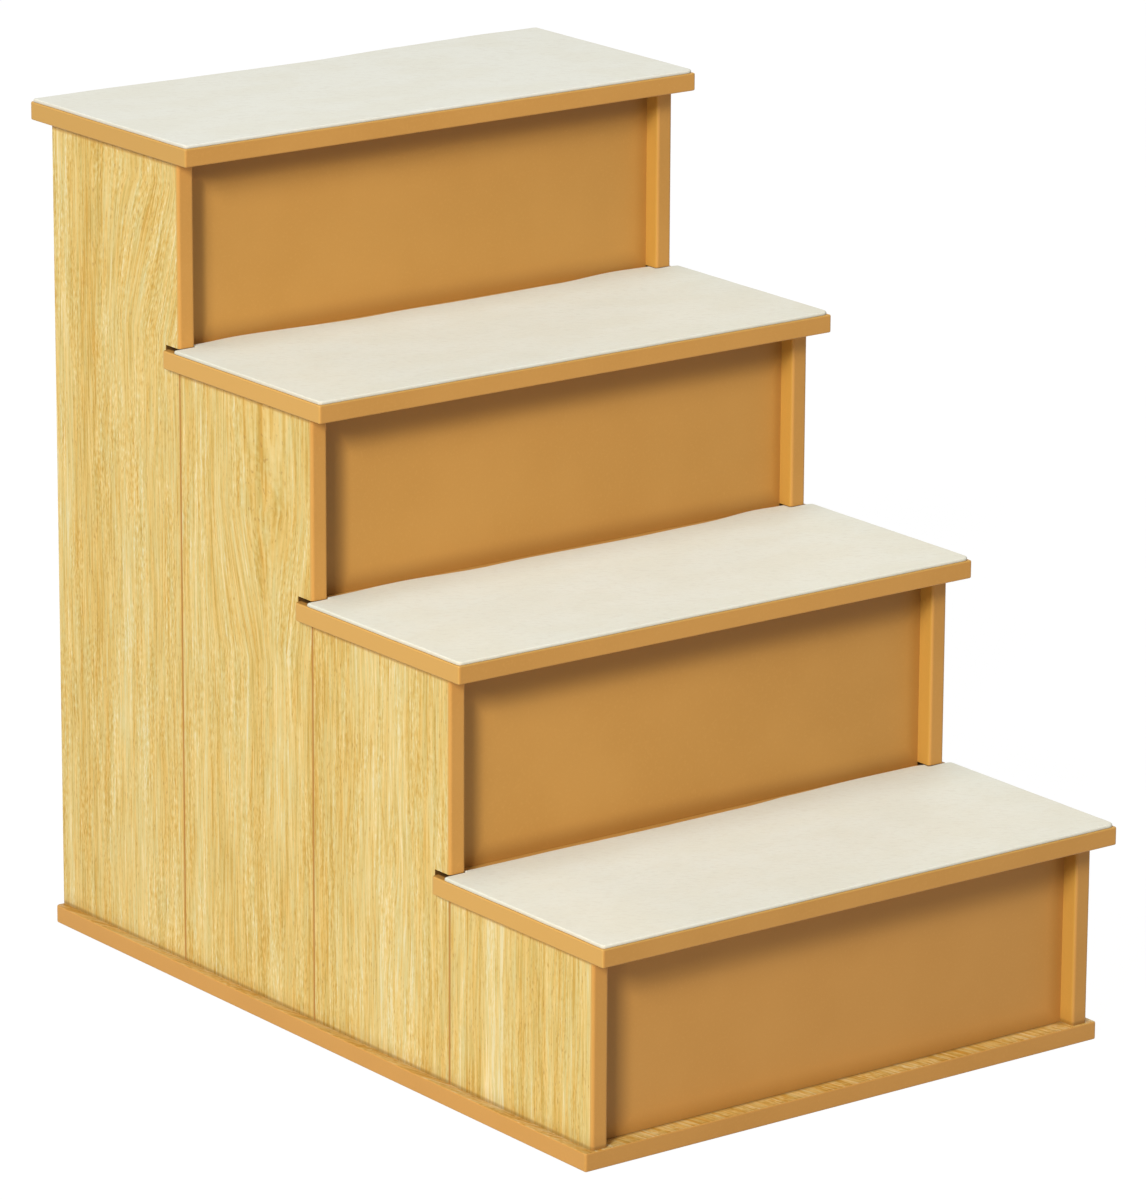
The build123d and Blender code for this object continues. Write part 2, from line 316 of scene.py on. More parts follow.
risers = {
    # how high the painted shade at the foot of each riser reaches
    "footHeight": 13 * mm,
    # for each from the lowest: its painted light tint at the left and the right end, lighter where more light
    # falls, and the painted shade under its tread and beside the left and the right board, as (how far it is
    # full, where it is gone, share), and at its foot
    "looks": (
        {"shadingTints": ((1.015, 1.015, 1.015, 1.0), (0.945, 0.945, 0.945, 1.0)), "underShade": (25 * mm, 38 * mm, 0.16),
         "left": (16 * mm, 30 * mm, 0.38), "right": (2 * mm, 14 * mm, 0.38), "foot": 0.35},
        {"shadingTints": ((0.988, 1.004, 0.967, 1.0), (0.865, 0.878, 0.846, 1.0)), "underShade": (15 * mm, 36 * mm, 0.65),
         "left": (14 * mm, 24 * mm, 0.46), "right": (2 * mm, 12 * mm, 0.36), "foot": 0.4},
        {"shadingTints": ((0.988, 1.004, 0.967, 1.0), (0.907, 0.922, 0.888, 1.0)), "underShade": (13 * mm, 33 * mm, 0.68),
         "left": (15.5 * mm, 27.5 * mm, 0.74), "right": (1 * mm, 9 * mm, 0.4), "foot": 0.35},
        {"shadingTints": ((0.992, 1.013, 0.977, 1.0), (0.926, 0.946, 0.911, 1.0)), "underShade": (11 * mm, 23 * mm, 0.78),
         "left": (14 * mm, 19 * mm, 0.44), "right": (1 * mm, 12 * mm, 0.32), "foot": 0.3},
    ),
}


def riserMaterial(step):
    finish = Finish(f"riserFoil{step}")
    place = finish.place()
    x, z = place[0], place[2]
    tone, roughness, peel = caramelFoil(finish, place)
    look = risers["looks"][step - 1]
    # painted light: a tint from the left end to the right, lighter where more light falls
    tone = finish.tinted(tone, finish.blend(finish.between(x, -insideHalf, insideHalf), *look["shadingTints"]))
    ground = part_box(f"tread_pad_{step - 1}" if step > 1 else "base_board")[1].z
    # painted shade at the foot, under the tread and beside the side boards
    paintedShade = finish.fading(z - ground, 0.0, risers["footHeight"]) * look["foot"]
    distances = {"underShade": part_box(f"tread_{step}")[0].z - z, "left": x + insideHalf, "right": insideHalf - x}
    for edge, away in distances.items():
        full, gone, share = look[edge]
        paintedShade = paintedShade.most(finish.fading(away, full, gone) * share)
    return foilSurface(finish, finish.blend(paintedShade, tone, caramel["paintedShade"]), roughness, peel)


treads = {
    # painted shade line along the upper edges: how far below the face it starts, where it is full, and its
    # share
    "brimShade": (1.0 * mm, 0.3 * mm, 0.6),
    # painted shadow where a side board's notch holds the tread: how far before the board's inner face it
    # starts, how far past its outer face it ends, and its share
    "notch": (2 * mm, 1.5 * mm, 0.9),
    # painted shade on the upper edge there: how far from the tread's end it begins to fade, where it is gone,
    # and its share
    "strip": (1.5 * mm, 0.5 * mm, 0.7),
}


def treadMaterial(step):
    # painted shade along the upper edge, painted light on the ends, and painted shadow in the notches of the
    # side boards
    finish = Finish(f"treadFoil{step}")
    place = finish.place()
    x, y, z = place
    tone, roughness, peel = caramelFoil(finish, place)
    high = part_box(f"tread_{step}")[1]
    aside = abs(x)
    start, full, share = treads["brimShade"]
    brimShade = finish.between(z, high.z - start, high.z - full)
    tone = finish.blend(brimShade * share, tone, caramel["brimShade"])
    # painted light on the ends, darker on the highest tread
    ends = endSkin(finish, aside, high.x)
    if step == stepCount:
        tone = finish.blend(ends, tone, caramel["topEndShade"])
    else:
        tone = finish.blend(ends, tone, caramel["end"])
        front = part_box(f"left_side_board_{step + 1}")[0].y
        inside, outside, notchShare = treads["notch"]
        fades, gone, stripShare = treads["strip"]
        held = finish.between(y, front, front + mm) * finish.between(aside, insideHalf - inside, insideHalf)
        # painted shade on the upper edge where the notch holds the tread
        strip = held * brimShade * finish.fading(aside, high.x - fades, high.x - gone)
        tone = finish.blend(strip * stripShare, tone, caramel["paintedShade"])
        # painted shadow in the notch
        held = held * finish.fading(aside, carcassHalf, carcassHalf + outside)
        tone = finish.blend(held * notchShare, tone, caramel["slot"])
    return foilSurface(finish, tone, roughness, peel)


# Oak pattern on the outer faces of the side boards and on the base board

oak = {
    # tone of the pattern, from the dark of the grain to the palest stripes
    "tones": (
        (0.13, linear(207, 163, 70)),
        (0.26, linear(216, 178, 89)),
        (0.39, linear(221, 187, 102)),
        (0.52, linear(226, 195, 115)),
        (0.64, linear(229, 202, 127)),
        (0.78, linear(232, 207, 136)),
        (0.90, linear(235, 213, 146)),
        (0.99, linear(240, 223, 170)),
    ),
    # where on that scale a board without grain would be
    "middle": 0.54,
    # each noise: width across and length along the grain, seed and detail
    "noises": {
        "sway": (60 * mm, 190 * mm, 0.0, 2.0),
        "ripple": (9 * mm, 18 * mm, 2.3, 1.0),
        "stave": (22 * mm, 420 * mm, 3.1, 1.5),
        "streak": (4.6 * mm, 130 * mm, 7.7, 1.5),
        "fibre": (1.6 * mm, 44 * mm, 1.3, 1.5),
        "hair": (0.75 * mm, 28 * mm, 9.4, 1.5),
        "fleck": (1.1 * mm, 4.5 * mm, 4.2, 1.5),
        "fleckZone": (13 * mm, 75 * mm, 21.5, 1.0),
        "thread": (1.2 * mm, 60 * mm, 12.6, 1.0),
        "pore": (0.9 * mm, 5 * mm, 5.9, 1.0),
        "tint": (3.5 * mm, 60 * mm, 31.0, 1.0),
        "fineTint": (1.3 * mm, 30 * mm, 33.0, 1.0),
        "lineFade": (30 * mm, 110 * mm, 17.0, 1.0),
    },
    "strengths": {"stave": 0.45, "streak": 0.95, "fibre": 1.05, "hair": 0.9, "fleck": 1.45, "thread": 0.28},
    # how far the sway bends the grain, its growth lines and its stripes, and the ripple the finest grain
    "grainSway": 10 * mm,
    "lineSway": 5 * mm,
    "stripeSway": 3 * mm,
    "ripple": 0.4 * mm,
    # flecks and growth lines come and go: where in their noise, and what is left of them in between
    "fleckZone": (0.4, 0.62, 0.25),
    "lineFade": (0.4, 0.6, 0.2),
    # growth lines: how far apart and how sharp, and over what share of their reach they set in
    "lineSpacing": 8 * mm,
    "lineSharpness": 6,
    "lineStart": 0.2,
    # the pointed one: how far from its middle it is full and gone, and the share of its height where it fades
    "veeLine": (0.3 * mm, 1.3 * mm),
    "veeFade": 0.6,
    # where a stripe is full and gone, in shares of its half width
    "stripeEdge": (0.7, 1.2),
    # sparse thin lines: where in their noise they are dark or pale
    "darkThreads": (0.61, 0.7),
    "paleThreads": (0.3, 0.39),
    "paleThreadShare": 0.5,
    # pores, only where the tone is dark
    "pores": (0.62, 0.72),
    "poreTones": (0.45, 0.85),
    "poreShare": 0.6,
    "poreTone": linear(184, 138, 66),
    # some streaks lean to green, others to orange
    "green": (0.93, 0.985, 1.06, 1.0),
    "orange": (1.07, 1.005, 0.93, 1.0),
    "tintShares": (0.45, 0.55),
    "tintRange": (0.32, 0.68),
    "roughness": 0.43,
    "poreRoughness": 0.25,
    "fleckGloss": 0.08,
    "toneHeight": 0.5,
    "grooveDepth": 0.012 * mm,
    "specular": 0.3,
    # how deep the oak skin is full, and where it is gone
    "skin": (0.1 * mm, 0.25 * mm),
    # painted shade where boards meet
    "contactShade": linear(124, 84, 30),
}


def oakNoise(finish, name, across, along, seed):
    width, length, ownSeed, detail = oak["noises"][name]
    return finish.grain((across, along, seed + ownSeed), (width, length, 1), detail)


def oakDrifts(finish, bent, along, sway, seed, drifts):
    # stretches where the grain leans: the place across it, bent with it, and thin growth lines along it
    lines = 0.0
    fade = finish.patchy(oakNoise(finish, "lineFade", bent, along, seed), *oak["lineFade"])
    for place, half, slope, low, reach, strength in drifts:
        near = finish.fading(abs(bent - place), 0.0, half)
        ahead = along - low
        bent = bent - ahead.most(0.0).least(reach) * near * slope
        rings = (bent + sway * oak["lineSway"]) / oak["lineSpacing"]
        shown = near * finish.between(ahead, -oak["lineStart"] * reach, oak["lineStart"] * reach)
        lines = rings.fraction() ** oak["lineSharpness"] * shown * fade * strength + lines
    return bent, lines


def oakVee(finish, straight, along, vee):
    # one small growth line that points down
    place, tip, slope, tall, strength = vee
    ahead = along - tip
    level = abs(straight - place) - ahead * slope
    line = finish.fading(abs(level), *oak["veeLine"]) * finish.between(ahead, -mm, mm)
    return line * finish.fading(ahead, oak["veeFade"] * tall, tall) * strength


def oakPattern(finish, across, along, seed, figure):
    # across and along the grain in metres, with a seed of its own for each board
    def noiseOf(name, where):
        return oakNoise(finish, name, where, along, seed)

    def layer(name, where):
        return (noiseOf(name, where) - 0.5) * oak["strengths"][name]

    sway = noiseOf("sway", across) - 0.5
    ripple = noiseOf("ripple", across) - 0.5
    straight = across + sway * oak["stripeSway"]
    bent, lines = oakDrifts(finish, across + sway * oak["grainSway"], along, sway, seed, figure["drifts"])
    if figure["vee"]:
        lines = oakVee(finish, straight, along, figure["vee"]) + lines
    wavy = bent + ripple * oak["ripple"]

    tone = layer("stave", bent) + layer("streak", bent) + layer("fibre", wavy) + layer("hair", wavy)
    fleck = layer("fleck", wavy) * finish.patchy(noiseOf("fleckZone", bent), *oak["fleckZone"])
    tone = (tone + fleck * figure["flecks"]) * figure["contrast"] + oak["middle"] - lines
    thread = noiseOf("thread", wavy)
    pale = finish.fading(thread, *oak["paleThreads"]) * oak["paleThreadShare"]
    tone = tone + (pale - finish.between(thread, *oak["darkThreads"])) * oak["strengths"]["thread"]
    for place, half, strength in figure["stripes"]:
        inner, outer = (half * share for share in oak["stripeEdge"])
        tone = tone + finish.fading(abs(straight - place), inner, outer) * strength
    dark = finish.between(noiseOf("pore", wavy), *oak["pores"]) * finish.fading(tone, *oak["poreTones"])
    dark = dark * oak["poreShare"]
    colour = finish.node("ShaderNodeValToRGB", {"stops": oak["tones"]}, {0: tone})
    wideShare, fineShare = oak["tintShares"]
    lean = noiseOf("tint", bent) * wideShare + noiseOf("fineTint", wavy) * fineShare
    lean = finish.between(lean, *oak["tintRange"])
    colour = finish.tinted(colour, finish.blend(lean, oak["green"], oak["orange"]))
    colour = finish.blend(dark, colour, oak["poreTone"])
    roughness = oak["roughness"] + dark * oak["poreRoughness"] - fleck * oak["fleckGloss"]
    return colour, roughness, tone * oak["toneHeight"] - dark


def boardSurface(finish, tone, share, oakFace, foilFace):
    # grooves of the oak where the share is 1, peel of the foil where it is 0
    roughness = foilFace[1] + (oakFace[1] - foilFace[1]) * share
    height = share * oakFace[2] * oak["grooveDepth"] + (1 - share) * foilFace[2] * caramel["peelDepth"]
    return finish.surface(tone, roughness, height, 1.0, specular=oak["specular"])


sideBoards = {
    # seed of a board's grain: this times its step, and the side's own
    "stepSeed": 13.7,
    "sideSeeds": {"left": 0.0, "right": 57.0},
    # painted light on the front edges: lighter on the left boards, darker on the right ones
    "edgeShadingTints": {"left": (1.05, 1.05, 1.03, 1.0), "right": (0.94, 0.94, 0.93, 1.0)},
    # line where two boards butt: how far from the front and the rear edge and how deep it is full and gone
    "joint": linear(166, 120, 58),
    "frontJoint": (0.8 * mm, 2.2 * mm),
    "rearJoint": (0.0, 1.0 * mm),
    "jointDepth": (1.0 * mm, 2.0 * mm),
    "jointShare": 0.7,
    # painted shade at the foot, a narrow dark line and a wide faint shade: how far up it is full, where it is
    # gone, and its share
    "contactShades": ((1.0 * mm, 3.2 * mm, 0.45), (2 * mm, 12 * mm, 0.15)),
    # under the tread: how far below the board's top it starts, where it is full, and its share
    "shade": linear(196, 144, 54),
    "topShade": (5.0 * mm, 3.5 * mm, 0.52),
    # the edge band comes round onto the face where the front edge is free: how far it is full and gone
    "band": (2.2 * mm, 2.6 * mm),
    # painted shadow on the walls of the notch that takes the tread below
    "notchHeight": 14 * mm,
    "notchDepth": 16 * mm,
    "notchRim": 0.25 * mm,
    "notchShare": 0.85,
    # for each board from the lowest: how strong its grain and its flecks are, where the grain leans, as (share
    # of the width from the front, half width, lean, height where it starts, how far it goes on, strength of its
    # lines), one small growth line, as (share, height of its tip, slope, how tall, strength), and its stripes,
    # as (share, half width, tone)
    "figures": (
        {"contrast": 0.95,
         "flecks": 0.6,
         "drifts": (),
         "vee": None,
         "stripes": ((0.39, 9 * mm, -0.1), (0.55, 0.9 * mm, -0.16), (0.68, 10.5 * mm, 0.24),
                     (0.63, 1.2 * mm, 0.14), (0.73, 1.5 * mm, 0.18), (0.785, 1.0 * mm, -0.3),
                     (0.83, 1.2 * mm, -0.14), (0.875, 1.0 * mm, -0.26), (0.95, 5 * mm, 0.08))},
        {"contrast": 1.0,
         "flecks": 0.9,
         "drifts": (),
         "vee": (0.455, 0.144, 0.17, 50 * mm, 0.3),
         "stripes": ((0.19, 1.6 * mm, -0.15), (0.48, 32 * mm, 0.11), (0.685, 1.6 * mm, 0.14),
                     (0.8, 2.2 * mm, -0.18), (0.95, 7 * mm, -0.12))},
        {"contrast": 0.95,
         "flecks": 1.0,
         "drifts": ((0.5, 62 * mm, 0.3, 0.238, 100 * mm, 0.2), (0.17, 45 * mm, -0.17, 0.25, 90 * mm, 0.16)),
         "vee": None,
         "stripes": ((0.26, 11 * mm, 0.05), (0.43, 9 * mm, -0.08), (0.88, 9 * mm, 0.05))},
        {"contrast": 0.93,
         "flecks": 1.2,
         "drifts": ((0.12, 95 * mm, -0.33, 0.43, 100 * mm, 0.2),),
         "vee": None,
         "stripes": ((0.37, 13 * mm, 0.1), (0.7, 19 * mm, -0.1), (0.91, 8 * mm, 0.14))},
    ),
}


def placedFigure(figure, front, rear):
    # the figure with its shares of the board's width turned into places
    def placed(item):
        return (front + item[0] * (rear - front),) + item[1:]
    return dict(figure, drifts=[placed(item) for item in figure["drifts"]],
                vee=placed(figure["vee"]) if figure["vee"] else None,
                stripes=[placed(item) for item in figure["stripes"]])


def sideBoardMaterial(side, step):
    # oak on the outer face, caramel on the edges and the inner face
    look = sideBoards
    finish = Finish(f"{side}Oak{step}")
    place = finish.place()
    x, y, z = place
    low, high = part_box(f"{side}_side_board_{step}")
    notched = step > 1
    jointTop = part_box(f"{side}_side_board_{step - 1}")[1].z if notched else 0.0
    seed = look["stepSeed"] * step + look["sideSeeds"][side]
    oakFace = oakPattern(finish, y, z, seed, placedFigure(look["figures"][step - 1], low.y, high.y))
    start, full, share = look["topShade"]
    shade = finish.between(z, high.z - start, high.z - full)
    oakTone = finish.blend(shade * share, oakFace[0], look["shade"])

    foilFace = caramelFoil(finish, place)
    # painted light: a tint on the front edges by side, and the painted tone of the inner faces
    foilTone = finish.tinted(foilFace[0], look["edgeShadingTints"][side])
    depth = carcassHalf - abs(x)
    foilTone = finish.blend(endSkin(finish, depth, boardThickness), foilTone, caramel["inner"])
    outer = finish.fading(depth, *oak["skin"])
    band = finish.fading(y - low.y, *look["band"])
    if notched:
        band = band * finish.between(z, jointTop, jointTop + mm)
    # the band takes the ends' painted light tone
    foilTone = finish.blend(band * outer, foilTone, caramel["end"])
    outer = outer * (1 - band)
    tone = finish.blend(outer, foilTone, oakTone)

    # painted shade where the board stands on the base, and brownish lines where it butts against its neighbours
    contactShade = 0.0
    for full, gone, share in look["contactShades"]:
        contactShade = finish.fading(z - low.z, full, gone) * share + contactShade
    tone = finish.blend(contactShade, tone, oak["contactShade"])
    joint = 0.0
    if notched:
        joint = finish.fading(y - low.y, *look["frontJoint"]) * finish.fading(z, jointTop, jointTop + mm)
    if step < stepCount:
        joint = finish.fading(high.y - y, *look["rearJoint"]) + joint
    joint = joint * finish.fading(depth, *look["jointDepth"])
    tone = finish.blend(joint * look["jointShare"], tone, look["joint"])
    # painted shadow on the walls of the notch
    if notched:
        top, rim = jointTop + look["notchHeight"], look["notchRim"]
        walls = finish.between(z, jointTop - rim, jointTop) * finish.fading(z, top, top + rim)
        walls = walls * finish.fading(y - low.y, look["notchDepth"], look["notchDepth"] + rim)
        within = boardThickness / 2 - abs(depth - boardThickness / 2)
        walls = walls * finish.between(within, rim, 2 * rim)
        tone = finish.blend(walls * look["notchShare"], tone, caramel["slot"])
    return boardSurface(finish, tone, outer, oakFace, foilFace)


baseBoard = {
    "figure": {"drifts": (), "vee": None, "stripes": (), "contrast": 1.4, "flecks": 1.0},
    "seed": 41.0,
    # how far to the side its grain runs for each metre towards the rear
    "lean": 0.25,
    # shares of the thickness between which the tone of the upper face sets in
    "upper": (0.5, 0.7),
    "frontTint": (1.04, 0.99, 0.94, 1.0),
    # the ledge beside the side boards, and a rim along the front: how far it is full, where it is gone, share
    "ledgeTint": (0.84, 0.715, 0.645, 1.0),
    "frontRim": (1.5 * mm, 3.5 * mm, 0.6),
    # shade at the foot of the lowest riser: its width and share, and in its corners its width, length and share
    "foot": (4.5 * mm, 0.82),
    "corner": (11 * mm, 15 * mm, 0.75),
    # share of the ends' painted light tone
    "endShare": 0.2,
}


def baseMaterial():
    # oak on the top and the underside with the grain from front to rear, caramel on the edges
    look = baseBoard
    finish = Finish("baseOak")
    place = finish.place()
    x, y, z = place
    low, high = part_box("base_board")
    aside = abs(x)
    oakFace = oakPattern(finish, x + y * look["lean"], y, look["seed"], look["figure"])
    upper = finish.between(z, *(boardThickness * share for share in look["upper"]))
    full, gone, share = look["frontRim"]
    rim = finish.fading(y - low.y, full, gone) * share
    ledge = finish.between(aside, carcassHalf - mm, carcassHalf).most(rim) * upper
    oakTone = finish.tinted(oakFace[0], finish.blend(ledge, look["frontTint"], look["ledgeTint"]))

    # painted shade at the foot of the lowest riser and in its corners
    toRiser = abs(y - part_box("riser_1")[0].y)
    width, share = look["foot"]
    foot = finish.fading(toRiser, 0.0, width) * share
    width, length, share = look["corner"]
    corner = finish.fading(toRiser, 0.0, width) * finish.fading(insideHalf - aside, 0.0, length) * share
    foot = foot.most(corner) * finish.fading(aside, insideHalf, insideHalf + mm) * upper
    oakTone = finish.blend(foot, oakTone, oak["contactShade"])

    foilFace = caramelFoil(finish, place)
    # the ends take a share of their painted light tone
    foilTone = finish.blend(endSkin(finish, aside, high.x) * look["endShare"], foilFace[0], caramel["end"])
    depth = boardThickness / 2 - abs(z - boardThickness / 2)
    flat = finish.fading(depth, *oak["skin"])
    return boardSurface(finish, finish.blend(flat, foilTone, oakTone), flat, oakFace, foilFace)


# Metal and beech of the hidden fittings

metals = {
    "zincPlatedSteel": {"crystal": (3 * mm, 3.0), "dark": linear(176, 178, 176), "pale": linear(205, 205, 200),
                        "roughness": 0.28, "roughnessSpread": 0.16, "depth": 0.02 * mm},
    "castZinc": {"crystal": (0.8 * mm, 3.0), "dark": linear(150, 150, 148), "pale": linear(182, 181, 176),
                 "roughness": 0.45, "roughnessSpread": 0.2, "depth": 0.05 * mm},
}

beech = {
    "streak": ((0.7 * mm, 12 * mm, 0.7 * mm), 3.0),
    "fleck": ((0.4 * mm, 1.6 * mm, 0.4 * mm), 1.0),
    "pale": linear(222, 190, 146),
    "dark": linear(198, 160, 114),
    "fleckTone": linear(150, 108, 70),
    "fleckRange": (0.62, 0.75),
    "fleckShare": 0.5,
    "roughness": 0.6,
    "roughnessSpread": 0.15,
    "depth": 0.03 * mm,
}


def metalMaterial(name):
    look = metals[name]
    finish = Finish(name)
    crystal = finish.grain(finish.place(), *look["crystal"])
    tone = finish.blend(crystal, look["dark"], look["pale"])
    roughness = look["roughness"] + crystal * look["roughnessSpread"]
    return finish.surface(tone, roughness, crystal, look["depth"], metallic=1.0)


def beechMaterial():
    finish = Finish("beechDowel")
    place = finish.place()
    streak = finish.grain(place, *beech["streak"])
    fleck = finish.between(finish.grain(place, *beech["fleck"]), *beech["fleckRange"])
    tone = finish.blend(streak, beech["pale"], beech["dark"])
    tone = finish.blend(fleck * beech["fleckShare"], tone, beech["fleckTone"])
    roughness = beech["roughness"] + streak * beech["roughnessSpread"]
    return finish.surface(tone, roughness, streak, beech["depth"])


# Felt pads

felt = {
    "colour": linear(242, 241, 227),
    "warm": linear(240, 238, 222),
    "shade": linear(231, 227, 211),
    "light": linear(248, 247, 236),
    "cut": linear(214, 201, 172),
    # painted light and shade: tints of each pad from the lowest, and of the rear and the left part of the three
    # lower ones
    "shadingTints": ((0.955, 0.955, 0.955, 1.0), (0.96, 0.96, 0.96, 1.0),
              (0.912, 0.912, 0.912, 1.0), (0.92, 0.924, 0.95, 1.0)),
    "rearShadingTints": ((0.957, 1.012, 1.055, 1.0), (0.945, 0.995, 1.03, 1.0), (0.945, 0.995, 1.03, 1.0)),
    "leftShadingTints": ((1.045, 1.025, 1.0, 1.0), (1.025, 1.008, 0.985, 1.0), (1.03, 1.012, 0.99, 1.0)),
    # where those parts start behind the front edge and end before the rear one, or start and end from the left
    "rearPart": (35 * mm, 10 * mm),
    "leftPart": (90 * mm, 25 * mm),
    # size of the cells, detail, roughness and warp of each noise; mat and hair lie along the nap
    "cloud": ((45 * mm, 30 * mm, 30 * mm), 2.0),
    "mat": ((6 * mm, 2.4 * mm, 3 * mm), 3.0, 0.6, 0.3),
    "hair": ((2.2 * mm, 0.9 * mm, 1 * mm), 3.0, 0.7, 0.6),
    "nap": (0.8, 0.6),
    # where in their noise the tones start and are full, and their share
    "warmRange": (0.35, 0.65),
    "matShade": (0.48, 0.72, 0.5),
    "hairLight": (0.52, 0.8, 0.7),
    "hairShade": (0.25, 0.46, 0.65),
    # the rim, darker by the cut edge's own tone and by painted shade at its foot: its height in shares of the
    # rim, its share all round, and what the two ends have more
    "rimShadeHeight": (0.5, 0.08),
    "rimShadeShare": 0.2,
    "rimShadeEnds": (2 * mm, 1 * mm, 0.25),
    "roughness": 0.92,
    "roughnessSpread": 0.1,
    "specular": 0.2,
    "hairHeight": 0.6,
    "matHeight": 0.4,
    "napDepth": 0.1 * mm,
    # shape of the pad: how far it reaches past the CAD pad in front and at its ends, how far from its ends the
    # highest pad's middle stretch of cells ends, how far the tongues stay clear of the side boards, and how
    # many cells each stretch of the grid has
    "thickness": 2.2 * mm,
    "outset": 0.9 * mm,
    "endInset": 8 * mm,
    "boardGap": 0.4 * mm,
    "columnCells": (6, 4, 80, 4, 6),
    "rowCells": (6, 30, 6, 6),
    "rim": 1.1 * mm,
    "rimSteps": 4,
    # radius of the left and the right front corner, and the share of it that the rear ones have
    "frontCorners": (2.5 * mm, 5 * mm),
    "rearCornerShare": 0.6,
    "lump": 0.08 * mm,
    "lumpSize": 14 * mm,
    "lumpSeed": 7,
    # uneven cut: by how much, how long its waves are, how far behind the front edge it ends, and from what
    # share of the half width the sides have it
    "wander": 0.5 * mm,
    "wanderSize": 50 * mm,
    "wanderFront": 20 * mm,
    "wanderSides": 0.9,
    "smoothLevels": 1,
    # how far the rear edge stands forward of its longest reach, from the left end to the right, in millimetres
    "rearGaps": (
        ((-1.0, 9.5), (-0.9, 9.5), (-0.6, 9.2), (-0.25, 10.5), (0.2, 9.6), (0.38, 6.8), (0.7, 5), (0.95, 5.5),
         (1.0, 7)),
        ((-1.0, 9), (-0.68, 5.5), (-0.36, 10.5), (-0.15, 8.8), (0.3, 10.8), (0.6, 9), (0.88, 3.2), (1.0, 5)),
        ((-1.0, 6), (-0.8, 3), (-0.3, 10), (-0.1, 8.5), (0.1, 9.6), (0.55, 8), (0.85, 2), (1.0, 4)),
        ((-1.0, 1), (-0.8, 1), (-0.4, 4.5), (0.05, 7), (0.45, 3), (0.8, 1), (1.0, 3)),
    ),
}


def feltMaterial(step):
    # fuzzy face, with a rim darker all round by its cut edge and by painted shade, and tints of painted light
    finish = Finish(f"creamFelt{step}")
    place = finish.place()
    x, y, z = place
    low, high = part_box(f"tread_pad_{step}")
    main, other = felt["nap"]
    nap = (x * main - y * other, x * other + y * main, z)
    cloud = finish.grain(place, *felt["cloud"])
    mat = finish.grain(nap, *felt["mat"])
    hair = finish.grain(nap, *felt["hair"])
    tone = finish.blend(finish.between(cloud, *felt["warmRange"]), felt["colour"], felt["warm"])
    start, full, share = felt["matShade"]
    tone = finish.blend(finish.between(mat, start, full) * share, tone, felt["shade"])
    start, full, share = felt["hairLight"]
    tone = finish.blend(finish.between(hair, start, full) * share, tone, felt["light"])
    full, gone, share = felt["hairShade"]
    tone = finish.blend(finish.fading(hair, full, gone) * share, tone, felt["shade"])

    # darker rim: the cut edge's own tone and painted shade at its foot, more at the two ends
    start, full, share = felt["rimShadeEnds"]
    cut = felt["rimShadeShare"] + finish.between(abs(x), high.x - start, high.x - full) * share
    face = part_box(f"tread_{step}")[1].z + felt["thickness"]
    full, gone = (face - felt["rim"] * share for share in felt["rimShadeHeight"])
    tone = finish.blend(finish.fading(z, full, gone) * cut, tone, felt["cut"])
    # tints of painted light and shade for the pad and its rear and left parts
    tone = finish.tinted(tone, felt["shadingTints"][step - 1])
    if step < stepCount:
        start, end = felt["rearPart"]
        tone = finish.tinted(tone, felt["rearShadingTints"][step - 1], finish.between(y, low.y + start, high.y - end))
        start, end = felt["leftPart"]
        tone = finish.tinted(tone, felt["leftShadingTints"][step - 1], finish.between(x, low.x + start, low.x + end))
    roughness = felt["roughness"] + (hair - 0.5) * felt["roughnessSpread"]
    height = hair * felt["hairHeight"] + mat * felt["matHeight"]
    return finish.surface(tone, roughness, height, felt["napDepth"], specular=felt["specular"])


